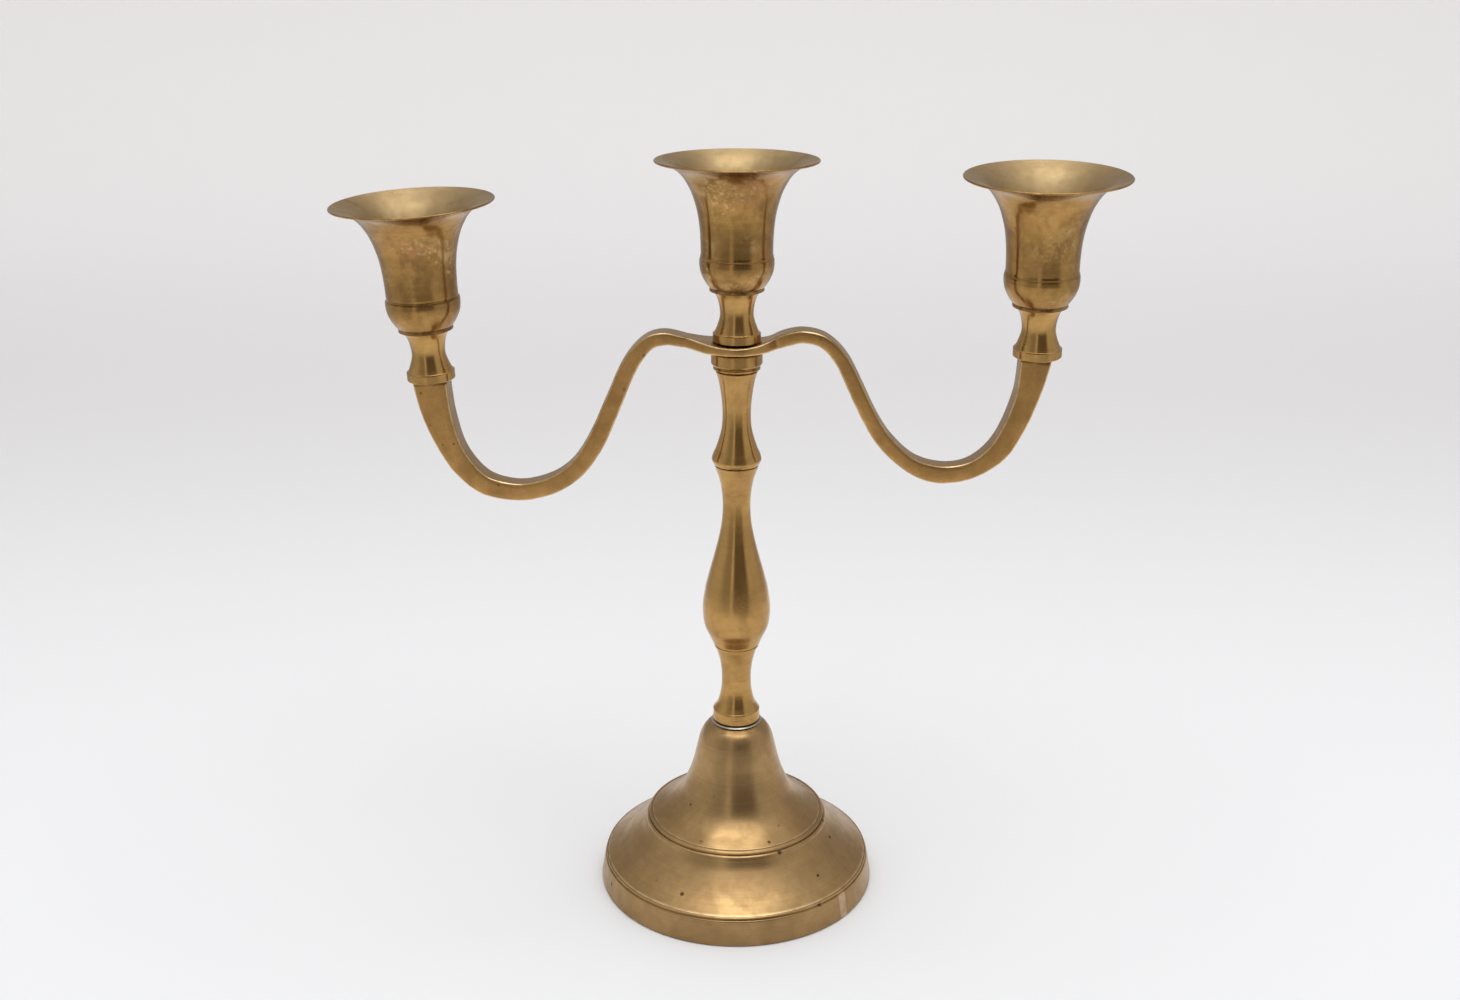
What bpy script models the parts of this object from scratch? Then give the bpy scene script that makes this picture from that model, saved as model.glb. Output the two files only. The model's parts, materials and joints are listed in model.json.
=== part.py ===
"""Tabletop candelabra: three candle cups on a cast two-armed yoke, over a turned brass column.

Written in millimetres and scaled to metres by MM. The origin is the centre of the foot on the
table, +Z is up, and the two arms lie close to the X axis.
"""
import bpy
import bmesh
from math import cos, pi, radians
from mathutils import Matrix, Vector

MM = 0.001
GAP = 0.3                     # air kept between two pieces that touch

# ---- driving dimensions, in millimetres -------------------------------------------------
FOOT_RADIUS = 57.0
FOOT_INNER_RADIUS = 53.0
RIM_TOP = 10.6                # top of the near-vertical band round the foot
STEP_RADIUS = 36.4            # turned step half way up the bell
STEP_TOP = 29.8
STEP_HEIGHT = 1.7
BASE_TOP = 71.2               # flat land that the column stands on
CROWN_INSIDE = 66.2           # underside of that land, where the nut pulls up

WASHER_RADIUS = 10.3          # pale ring that shows under the column
WASHER_THICKNESS = 0.7
STEM_BOTTOM = BASE_TOP + WASHER_THICKNESS + 2 * GAP
STEM_JOINT = 182.3            # seam between the baluster and the spindle
STEM_TOP = 227.5              # top of the collar under the yoke

EYE_BOTTOM = 228.0            # the yoke's middle ring
EYE_TOP = 231.3
EYE_RADIUS = 10.8
SPOOL_BOTTOM = 231.8          # the middle cup's stem

ARM_DEPTH = 10.0              # front to back, at the cups
FLARE_REACH = 21.0            # how far out the bar starts to widen towards the eye
FLARE_HALF_DEPTH = 10.0       # and how far it widens, inside the eye
ARM_EDGE = 0.7                # softened casting edge
YOKE_TURN = -2.0              # degrees about +Z: the right arm sits slightly forward

SPOOL_HEIGHT = 19.2
SPIGOT_RADIUS = 4.0           # threaded end that the cup screws on
SPIGOT_HEIGHT = 4.8
CUP_RAISE = SPOOL_HEIGHT + 0.4    # the cup's underside, above its spool's foot
CUP_HEIGHT = 48.8
CUP_LIP_RADIUS = 30.8
SOCKET_RADIUS = 11.4          # takes a standard 22 mm dinner candle
SOCKET_FLOOR = 5.6

ROD_RADIUS = 3.0              # M6 tie rod, drawn plain
ROD_BOTTOM = 55.0
ROD_TOP = 244.0
NUT_ACROSS_FLATS = 10.0
NUT_HEIGHT = 5.0
NUT_WASHER_RADIUS = 9.0
NUT_WASHER_THICKNESS = 1.2
STUD_RADIUS = 2.5             # M5 studs in the arm ends
STUD_REACH = 9.0              # how far a stud goes down into its arm
STUD_RISE = 12.0              # and up into the cup's stem

# Where each side cup's stem stands (x, y, z) and how far it leans, in degrees:
# about X a positive lean tips its top to the front, about Y a negative one tips it to the left.
LEFT_SEAT = ((-118.0, 4.1, 215.9), 1.7, -2.5)
RIGHT_SEAT = ((114.0, -4.0, 227.0), 3.2, -0.7)

# The yoke's centre line from the left cup to the right one: x, z and thickness there. The left
# arm hangs a little lower and wider than the right one.
YOKE_LINE = (
    (-118.0, 219.0, 13.6), (-117.6, 212.5, 12.8), (-115.6, 201.1, 11.2), (-111.5, 189.1, 9.0),
    (-106.5, 180.7, 8.2), (-99.5, 174.1, 7.6), (-90.7, 171.3, 7.1), (-81.5, 171.2, 7.0),
    (-70.5, 174.7, 6.9), (-61.7, 181.4, 6.8), (-54.6, 191.9, 7.1), (-48.0, 206.5, 6.8),
    (-41.3, 221.7, 6.4), (-34.6, 230.5, 5.5), (-28.0, 233.1, 5.0), (-20.0, 232.0, 4.2),
    (-12.0, 230.2, 3.9), (-5.0, 229.65, 2.7), (5.0, 229.65, 2.7), (11.5, 230.4, 4.0),
    (18.5, 233.0, 5.0), (25.5, 234.3, 4.8), (33.3, 232.2, 4.8), (40.0, 225.3, 5.5),
    (45.5, 214.4, 6.0), (51.1, 202.8, 5.9), (57.2, 193.2, 6.2), (66.4, 184.5, 6.1),
    (76.0, 180.4, 7.0), (85.5, 180.4, 6.8), (93.6, 183.4, 6.9), (101.2, 190.0, 7.9),
    (106.5, 199.6, 8.3), (110.7, 211.7, 9.2), (112.8, 223.0, 11.2), (113.8, 230.0, 12.6),
)

# Half the yoke's depth, front to back, along x: deepest at the cups, slimmest in the bends.
ARM_HALF_DEPTHS = (
    (-118.0, 5.0), (-103.0, 4.4), (-85.0, 4.0), (-60.0, 4.1), (-28.0, 4.4), (28.0, 4.5),
    (60.0, 4.1), (85.0, 4.0), (103.0, 4.6), (114.0, 5.0),
)


# ---- helpers ----------------------------------------------------------------------------
def clear_scene():
    for obj in list(bpy.data.objects):
        bpy.data.objects.remove(obj, do_unlink=True)


def new_collection(name):
    collection = bpy.data.collections.new(name)
    bpy.context.scene.collection.children.link(collection)
    return collection


def new_material(name, colour, roughness, metallic=1.0):
    material = bpy.data.materials.new(name)
    material.use_nodes = True
    shader = material.node_tree.nodes["Principled BSDF"]
    shader.inputs["Base Color"].default_value = (*colour, 1.0)
    shader.inputs["Roughness"].default_value = roughness
    shader.inputs["Metallic"].default_value = metallic
    return material


def smooth(stations, per_span=2):
    """Points of a Catmull-Rom curve through the stations, with per_span steps in each span."""
    points = [Vector(station) for station in stations]
    ends = [2 * points[0] - points[1]] + points + [2 * points[-1] - points[-2]]
    curve = []
    for before, start, end, after in zip(ends, ends[1:], ends[2:], ends[3:]):
        for step in range(per_span):
            t = step / per_span
            curve.append(0.5 * ((2 * start) + (end - before) * t
                                + (2 * before - 5 * start + 4 * end - after) * t ** 2
                                + (3 * start - before - 3 * end + after) * t ** 3))
    return [tuple(point) for point in curve] + [tuple(points[-1])]


def empty(name, place=None, parent=None):
    """A bare pivot that moving pieces hang on; place is its matrix in millimetres."""
    pivot = bpy.data.objects.new(name, None)
    parts.objects.link(pivot)
    pivot.parent = parent
    if place:
        location, rotation, _ = place.decompose()
        pivot.location = location * MM
        pivot.rotation_euler = rotation.to_euler()
    return pivot


def finish(obj, material, smooth_below=35.0):
    """Give a finished mesh its material and smooth shading between its real edges."""
    obj.data.materials.clear()
    obj.data.materials.append(material)
    obj.data.shade_smooth()
    obj.data.set_sharp_from_angle(angle=radians(smooth_below))


def bake(obj):
    """Apply an object's modifiers to its own mesh."""
    bpy.context.view_layer.update()
    evaluated = obj.evaluated_get(bpy.context.evaluated_depsgraph_get())
    mesh = bpy.data.meshes.new_from_object(evaluated)
    obj.modifiers.clear()
    obj.data = mesh
    mesh.name = obj.name


def turned(name, outline, steps, material, parent=None, closed=True):
    """Turn an outline of (radius, height) about Z. It runs down the outside, then up the bore."""
    mesh = bpy.data.meshes.new(name)
    vertices = [(radius * MM, 0.0, height * MM) for radius, height in outline]
    edges = [(i, i + 1) for i in range(len(vertices) - 1)]
    if closed:
        edges.append((len(vertices) - 1, 0))
    mesh.from_pydata(vertices, edges, [])
    obj = bpy.data.objects.new(name, mesh)
    parts.objects.link(obj)
    screw = obj.modifiers.new("turn", "SCREW")
    screw.steps = steps
    screw.render_steps = steps
    screw.use_merge_vertices = True
    screw.merge_threshold = 0.00001
    bake(obj)
    finish(obj, material)
    obj.parent = parent
    return obj


def washer(name, radius, bottom, thickness, material):
    top = bottom + thickness
    bore = ROD_RADIUS + GAP
    outline = [(radius, top), (radius, bottom), (bore, bottom), (bore, top)]
    return turned(name, outline, 32, material)


def pin(name, radius, bottom, top, material, parent=None):
    """A plain round bar with a small chamfer at each end."""
    chamfer = 0.4
    outline = [(0.0, top), (radius - chamfer, top), (radius, top - chamfer),
               (radius, bottom + chamfer), (radius - chamfer, bottom), (0.0, bottom)]
    return turned(name, outline, 16, material, parent, closed=False)


def cylinder(name, radius, bottom, top, collection, segments=24, parent=None):
    mesh = bpy.data.meshes.new(name)
    cage = bmesh.new()
    bmesh.ops.create_cone(cage, cap_ends=True, segments=segments, radius1=radius * MM,
                          radius2=radius * MM, depth=(top - bottom) * MM,
                          matrix=Matrix.Translation((0, 0, (top + bottom) / 2 * MM)))
    cage.to_mesh(mesh)
    cage.free()
    obj = bpy.data.objects.new(name, mesh)
    collection.objects.link(obj)
    obj.parent = parent
    return obj


def as_tool(obj):
    obj.hide_render = True
    obj.display_type = "WIRE"
    return obj


def boolean(obj, tool, operation):
    modifier = obj.modifiers.new(operation.lower(), "BOOLEAN")
    modifier.operation = operation
    modifier.solver = "EXACT"
    modifier.object = tool


def seat_matrix(seat):
    """The place of a side cup's stem, in millimetres: its foot's centre, with its lean."""
    position, lean_front, lean_side = seat
    turn = Matrix.Rotation(radians(lean_side), 4, "Y") @ Matrix.Rotation(radians(lean_front), 4, "X")
    return Matrix.Translation(position) @ turn


# ---- the base and the column ------------------------------------------------------------
def make_base():
    """Hollow cast bell, open underneath, with a flat land on top for the column."""
    crown = smooth([(9.6, BASE_TOP), (12.6, 69.1), (14.7, 65.4), (16.1, 60.2), (17.5, 54.0),
                    (19.7, 47.1), (23.4, 39.6), (28.6, 34.3), (STEP_RADIUS, STEP_TOP)])
    skirt = smooth([(STEP_RADIUS + 0.5, STEP_TOP - STEP_HEIGHT), (40.6, 23.6), (47.0, 17.5),
                    (54.4, 12.0)])
    rim = [(55.1, RIM_TOP), (FOOT_RADIUS, 0.7), (FOOT_RADIUS - 0.6, 0.0)]
    hollow = smooth([(FOOT_INNER_RADIUS, 0.0), (51.4, 8.4), (44.6, 15.2), (37.8, 21.6),
                     (31.0, 28.8), (22.6, 35.6), (17.6, 43.8), (14.6, 53.0), (12.2, 62.0)], 1)
    bore = ROD_RADIUS + GAP
    land = [(12.0, CROWN_INSIDE), (bore, CROWN_INSIDE), (bore, BASE_TOP)]
    return turned("base", crown + skirt + rim + hollow + land, 36, satin_brass)


def make_baluster():
    """Lower column: a ringed foot, a slim neck, a vase swelling and a ringed top."""
    swelling = smooth([(8.2, STEM_JOINT - 1.6), (6.9, 176.8), (5.5, 166.5), (6.6, 154.0),
                       (9.1, 143.8), (12.0, 133.0), (13.6, 122.3), (12.7, 114.3),
                       (9.6, 107.2)])
    neck = smooth([(8.7, 105.2), (6.6, 98.0), (5.9, 90.6), (6.8, 82.4), (9.1, 77.6)])
    foot = [(9.5, 77.1), (9.5, STEM_BOTTOM + 0.4), (9.1, STEM_BOTTOM)]
    bore = ROD_RADIUS + GAP
    outline = ([(8.6, STEM_JOINT)] + swelling + neck + foot
               + [(bore, STEM_BOTTOM), (bore, STEM_JOINT)])
    return turned("baluster", outline, 24, turned_brass)


def make_spindle():
    """Upper column: a collar under the yoke, a slim neck and a round knop."""
    bottom = STEM_JOINT + GAP
    collar = [(9.5, STEM_TOP), (9.9, STEM_TOP - 0.4), (9.9, 222.8), (9.4, 222.3),
              (9.15, 221.1), (8.3, 220.5)]
    neck = smooth([(8.0, 219.6), (6.7, 215.2), (5.7, 206.6), (5.7, 198.6), (7.0, 192.4),
                   (8.7, 187.8), (9.7, 184.8), (9.2, 183.2)])
    bore = ROD_RADIUS + GAP
    outline = collar + neck + [(8.8, bottom), (bore, bottom), (bore, STEM_TOP)]
    return turned("spindle", outline, 24, turned_brass)


def make_nut():
    """Hexagon nut that pulls the whole column down onto the bell."""
    top = CROWN_INSIDE - GAP - NUT_WASHER_THICKNESS - GAP
    corner_radius = NUT_ACROSS_FLATS / 2 / cos(radians(30))
    nut = cylinder("base_nut", corner_radius, top - NUT_HEIGHT, top, parts, segments=6)
    tool = cylinder("nut_bore", ROD_RADIUS + GAP, top - NUT_HEIGHT - 1, top + 1, tools)
    boolean(nut, as_tool(tool), "DIFFERENCE")
    bake(nut)
    finish(nut, steel)


def make_column():
    make_base()
    washer("seat_washer", WASHER_RADIUS, BASE_TOP + GAP, WASHER_THICKNESS, pale_metal)
    washer("base_washer", NUT_WASHER_RADIUS, CROWN_INSIDE - GAP - NUT_WASHER_THICKNESS,
           NUT_WASHER_THICKNESS, steel)
    make_nut()
    pin("tie_rod", ROD_RADIUS, ROD_BOTTOM, ROD_TOP, steel)
    make_baluster()
    make_spindle()


# ---- the yoke ---------------------------------------------------------------------------
def yoke_outline():
    """Both edges of the yoke, set off by half the thickness each side of its centre line."""
    line = smooth(YOKE_LINE)
    upper = []
    lower = []
    for index, (x, z, thickness) in enumerate(line):
        before = Vector(line[max(index - 1, 0)][:2])
        after = Vector(line[min(index + 1, len(line) - 1)][:2])
        along = (after - before).normalized()
        across = Vector((-along.y, along.x)) * thickness / 2
        upper.append(Vector((x, z)) + across)
        lower.append(Vector((x, z)) - across)
    return upper + lower[::-1]


def half_depth(x):
    """Half the yoke's depth at x: the bar's own, widened towards the ring eye in the middle."""
    for (start, first), (end, second) in zip(ARM_HALF_DEPTHS, ARM_HALF_DEPTHS[1:]):
        if x <= end:
            break
    part = min(max((x - start) / (end - start), 0.0), 1.0)
    bar = first + (second - first) * part
    flare = (0.5 + 0.5 * cos(pi * min(abs(x) / FLARE_REACH, 1.0))) ** 0.8
    return bar + (FLARE_HALF_DEPTH - bar) * flare


def make_yoke(pivot, seats):
    """One casting: a flat bar bent into two swan-neck arms, with a ring eye in its middle."""
    curve = bpy.data.curves.new("yoke_outline", "CURVE")
    curve.dimensions = "2D"
    curve.fill_mode = "BOTH"
    curve.extrude = (ARM_DEPTH / 2 - ARM_EDGE) * MM
    curve.bevel_depth = ARM_EDGE * MM
    curve.bevel_resolution = 1
    curve.offset = -ARM_EDGE * MM
    outline = yoke_outline()
    spline = curve.splines.new("POLY")
    spline.points.add(len(outline) - 1)
    spline.use_cyclic_u = True
    for point, place in zip(spline.points, outline):
        point.co = (place.x * MM, place.y * MM, 0.0, 1.0)
    flat = bpy.data.objects.new("yoke_outline", curve)
    tools.objects.link(flat)
    bpy.context.view_layer.update()
    evaluated = flat.evaluated_get(bpy.context.evaluated_depsgraph_get())
    mesh = bpy.data.meshes.new_from_object(evaluated)
    bpy.data.objects.remove(flat)
    cage = bmesh.new()
    cage.from_mesh(mesh)
    bmesh.ops.remove_doubles(cage, verts=cage.verts, dist=0.000001)
    bmesh.ops.rotate(cage, verts=cage.verts, matrix=Matrix.Rotation(radians(90), 3, "X"))
    bmesh.ops.recalc_face_normals(cage, faces=cage.faces)
    for corner in cage.verts:
        corner.co.y *= half_depth(corner.co.x / MM) / (ARM_DEPTH / 2)
    cage.to_mesh(mesh)
    cage.free()

    yoke = bpy.data.objects.new("arm_yoke", mesh)
    parts.objects.link(yoke)
    yoke.parent = pivot
    eye = cylinder("yoke_eye", EYE_RADIUS, EYE_BOTTOM, EYE_TOP, tools, 32, pivot)
    boolean(yoke, as_tool(eye), "UNION")
    bore = cylinder("yoke_eye_bore", ROD_RADIUS + GAP, EYE_BOTTOM - 5, EYE_TOP + 5, tools, 24, pivot)
    boolean(yoke, as_tool(bore), "DIFFERENCE")
    for name, seat in seats.items():
        clearance = cylinder(name + "_pad_cut", 16.0, -GAP, 12.0, tools, 16, seat)
        boolean(yoke, as_tool(clearance), "DIFFERENCE")
        socket = cylinder(name + "_stud_bore", STUD_RADIUS + GAP, -STUD_REACH - GAP, 2.0, tools,
                          16, seat)
        boolean(yoke, as_tool(socket), "DIFFERENCE")
    bake(yoke)
    finish(yoke, cast_brass)


# ---- the cups and what they stand on ------------------------------------------------------
def make_spool(name, bore, parent):
    """Waisted stem of a cup: ringed foot, slim neck, flat top and a spigot for the cup."""
    foot = [(9.15, 2.7), (9.15, 0.4), (8.8, 0.0)]
    waist = smooth([(8.9, SPOOL_HEIGHT), (7.2, 16.0), (6.4, 11.2), (7.0, 7.6), (8.8, 3.2)])
    spigot_top = SPOOL_HEIGHT + SPIGOT_HEIGHT
    spigot = [(0.0, spigot_top), (SPIGOT_RADIUS - 0.5, spigot_top),
              (SPIGOT_RADIUS, spigot_top - 0.5), (SPIGOT_RADIUS, SPOOL_HEIGHT)]
    hole_top = STUD_RISE + 2 * GAP
    outline = spigot + waist + foot + [(bore, 0.0), (bore, hole_top), (0.0, hole_top)]
    return turned(name, outline, 20, turned_brass, parent, closed=False)


def make_cup(name, parent):
    """Tulip candle cup: rounded belly, plain socket and a wide thin trumpet lip."""
    flare = smooth([(CUP_LIP_RADIUS, CUP_HEIGHT - 0.5), (24.8, 46.4), (20.2, 42.5), (17.0, 37.0),
                    (14.8, 29.0), (13.75, 20.6), (13.6, 13.6)])
    belly = smooth([(14.0, 12.4), (14.15, 9.8), (13.0, 5.4), (10.1, 1.0)])
    bead = [(10.4, 0.7), (10.4, 0.0)]
    hole = SPIGOT_RADIUS + GAP
    socket = [(hole, 0.0), (hole, SOCKET_FLOOR), (SOCKET_RADIUS, SOCKET_FLOOR)]
    mouth = smooth([(SOCKET_RADIUS, 17.5), (12.5, 26.0), (15.2, 36.4), (19.4, 43.6),
                    (24.4, 47.1), (CUP_LIP_RADIUS - 0.5, CUP_HEIGHT)])
    return turned(name, flare + belly + bead + socket + mouth, 24, polished_brass, parent)


def make_candle_holder(side, bore, seat):
    """A cup's stem and the cup that turns on it."""
    make_spool(side + "_cup_stem", bore, seat)
    make_cup(side + "_cup", empty(side + "_cup_axis", Matrix.Translation((0, 0, CUP_RAISE)), seat))


# ---- assembly -----------------------------------------------------------------------------
clear_scene()
parts = new_collection("tabletop_candelabra")
tools = new_collection("cutters")

polished_brass = new_material("polished_brass", (0.55, 0.38, 0.16), 0.22)
turned_brass = new_material("turned_brass", (0.50, 0.34, 0.14), 0.28)
cast_brass = new_material("cast_brass", (0.38, 0.25, 0.10), 0.45)
satin_brass = new_material("satin_brass", (0.38, 0.27, 0.13), 0.38)
pale_metal = new_material("pale_metal", (0.55, 0.52, 0.46), 0.35)
steel = new_material("steel", (0.56, 0.57, 0.58), 0.35)

make_column()
centre_seat = empty("centre_seat", Matrix.Translation((0, 0, SPOOL_BOTTOM)))
make_candle_holder("centre", ROD_RADIUS + GAP, centre_seat)

swivel = empty("yoke_swivel")
seats = {}
for side, seat in (("left", LEFT_SEAT), ("right", RIGHT_SEAT)):
    seats[side] = empty(side + "_seat", seat_matrix(seat), swivel)
    pin(side + "_stud", STUD_RADIUS, -STUD_REACH, STUD_RISE, steel, seats[side])
    make_candle_holder(side, STUD_RADIUS + GAP, seats[side])
make_yoke(empty("yoke_turn", Matrix.Rotation(radians(YOKE_TURN), 4, "Z"), swivel), seats)
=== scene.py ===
"""Looks of the tabletop candelabra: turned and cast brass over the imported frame.

Lengths are in metres. A turned outline, as (radius, height), and the yoke's line and sections
are in millimetres, and scaled by MM when their meshes are made.
"""
import json
from math import cos, pi, radians, sin

import bpy
from mathutils import Matrix, Vector, noise


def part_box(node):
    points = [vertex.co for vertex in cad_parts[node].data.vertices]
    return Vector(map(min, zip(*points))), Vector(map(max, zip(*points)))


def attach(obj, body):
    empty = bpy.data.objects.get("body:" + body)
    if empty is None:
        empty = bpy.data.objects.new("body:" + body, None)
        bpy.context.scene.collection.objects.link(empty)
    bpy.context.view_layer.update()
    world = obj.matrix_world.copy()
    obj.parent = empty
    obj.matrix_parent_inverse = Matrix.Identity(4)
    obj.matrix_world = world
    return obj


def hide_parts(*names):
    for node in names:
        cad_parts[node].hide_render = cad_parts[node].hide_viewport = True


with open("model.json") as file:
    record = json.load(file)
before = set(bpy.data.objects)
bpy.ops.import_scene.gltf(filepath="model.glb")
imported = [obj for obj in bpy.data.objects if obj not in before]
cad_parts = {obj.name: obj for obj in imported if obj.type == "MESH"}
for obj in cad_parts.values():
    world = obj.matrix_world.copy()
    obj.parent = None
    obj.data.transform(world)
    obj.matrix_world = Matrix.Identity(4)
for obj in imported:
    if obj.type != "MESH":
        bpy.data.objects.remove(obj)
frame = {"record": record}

MM = 0.001
SHARP_ANGLE = radians(38)     # edges that turn more than this stay crisp
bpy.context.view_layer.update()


# ---- places read from the frame -----------------------------------------------------------
def node_top(node):
    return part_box(node)[1][2]


def node_bottom(node):
    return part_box(node)[0][2]


def joint(name):
    return next(item for item in frame["record"]["behaviour"]["joints"] if item["name"] == name)


def axis_place(joint_name):
    """A matrix at a cup's underside, on its joint, whose Z is the joint's axis."""
    hinge = joint(joint_name)
    turn = Vector((0, 0, 1)).rotation_difference(Vector(hinge["axis"])).to_matrix().to_4x4()
    return Matrix.Translation(Vector(hinge["pos_m"])) @ turn


# ---- outlines -----------------------------------------------------------------------------
SHORT_RUN = 5                 # a run with fewer points has all its corners eased, not only its ends
HOLLOW_DIRT_AND_SHADE = -0.6            # an inner corner's value beside an outer edge's 1: it holds dirt and painted shade
FILLET_STEPS = 4


def smooth(stations, per_span=7):
    """Points of a Catmull-Rom curve through the stations."""
    points = [Vector(station) for station in stations]
    ends = [2 * points[0] - points[1]] + points + [2 * points[-1] - points[-2]]
    curve = []
    for before, start, end, after in zip(ends, ends[1:], ends[2:], ends[3:]):
        for step in range(per_span):
            t = step / per_span
            curve.append(0.5 * ((2 * start) + (end - before) * t
                                + (2 * before - 5 * start + 4 * end - after) * t ** 2
                                + (3 * start - before - 3 * end + after) * t ** 3))
    return curve + [points[-1]]


def joined(*runs, fillet=0.22, closed=False):
    """One outline from several runs, with fillets where they join and at a short run's corners.

    Returns the points and, for each, how its edge is marked: above 0 on an outer edge that is
    lightened by rubbing and a painted highlight, below 0 in an inner corner that holds dirt and
    painted shade.
    """
    points = []
    corner = []
    for run in runs:
        run = [Vector(point) for point in run]
        for index, point in enumerate(run):
            points.append(point)
            corner.append(len(run) < SHORT_RUN or index in (0, len(run) - 1))
    eased = []
    wear_and_painted_light = []
    count = len(points)
    for index, point in enumerate(points):
        at_end = not closed and index in (0, count - 1)
        before = points[index - 1] - point
        after = points[(index + 1) % count] - point
        if at_end or not corner[index] or before.length == 0 or after.length == 0:
            eased.append(point)
            wear_and_painted_light.append(0.0)
            continue
        bend = before.angle(after)
        reach = min(fillet, 0.45 * before.length, 0.45 * after.length)
        start = point + before.normalized() * reach
        end = point + after.normalized() * reach
        convex = before.x * after.y - before.y * after.x < 0
        # above 0: an outer edge lightened by rubbing and a painted highlight; below 0: an inner
        # corner darkened by dirt and painted shade
        strength = (1.0 - bend / pi) * (1.0 if convex else HOLLOW_DIRT_AND_SHADE)
        for step in range(FILLET_STEPS + 1):
            t = step / FILLET_STEPS
            eased.append(start * (1 - t) ** 2 + point * 2 * t * (1 - t) + end * t ** 2)
            wear_and_painted_light.append(strength)
    return eased, wear_and_painted_light


# ---- meshes -------------------------------------------------------------------------------
def new_piece(name, vertices, faces, attributes, material, place=None):
    mesh = bpy.data.meshes.new(name)
    mesh.from_pydata(vertices, [], faces)
    for key, values in attributes.items():
        layer = mesh.attributes.new(key, "FLOAT", "POINT")
        layer.data.foreach_set("value", values)
    mesh.materials.append(material)
    mesh.validate()
    mesh.shade_smooth()
    mesh.set_sharp_from_angle(angle=SHARP_ANGLE)
    obj = bpy.data.objects.new(name, mesh)
    bpy.context.scene.collection.objects.link(obj)
    if place:
        obj.matrix_world = place
    return obj


ON_AXIS = 1e-7                # a smaller radius than this, in metres, is one point on the axis
LEVEL = 0.01                  # a smaller rise than this, in millimetres, counts as level


def lathe(name, shape, material, place=None, sides=144, closed=True, flats=None):
    """Turn an outline about Z. It runs down the outside, and up any bore or hollow.

    The attributes say how far along the outline a point is, how its edge is marked (lightened by
    rubbing and a painted highlight, darkened by dirt and painted shade), and whether it faces
    inwards.
    With flats, the distance across them in millimetres, the piece is a hexagon.
    """
    outline, edge_wear_and_light = shape
    run = 0.0
    vertices, faces, runs, wear_and_light_values, inner, rings = [], [], [], [], [], []
    last = outline[0]
    for index, (point, worn_and_lit) in enumerate(zip(outline, edge_wear_and_light)):
        run += (point - last).length * MM
        last = point
        rising = outline[(index + 1) % len(outline)].y > outline[index - 1].y + LEVEL
        radius, height = point.x * MM, point.y * MM
        count = sides if radius > ON_AXIS else 1
        rings.append([len(vertices) + side % count for side in range(sides)])
        for side in range(count):
            angle = 2 * pi * side / sides
            reach = radius
            if flats:
                reach = min(radius, flats / 2 * MM / cos(angle % (pi / 3) - pi / 6))
            vertices.append((reach * cos(angle), reach * sin(angle), height))
        runs += [run] * count
        wear_and_light_values += [worn_and_lit] * count
        inner += [float(rising)] * count
    pairs = list(zip(rings, rings[1:]))
    if closed:
        pairs.append((rings[-1], rings[0]))
    for upper, lower in pairs:
        for side in range(sides):
            after = (side + 1) % sides
            corners = [upper[side], lower[side], lower[after], upper[after]]
            face = list(dict.fromkeys(corners))
            if len(face) > 2:
                faces.append(face)
    attributes = {"run": runs, "wear_and_painted_light": wear_and_light_values, "inner": inner}
    return new_piece(name, vertices, faces, attributes, material, place)


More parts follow.
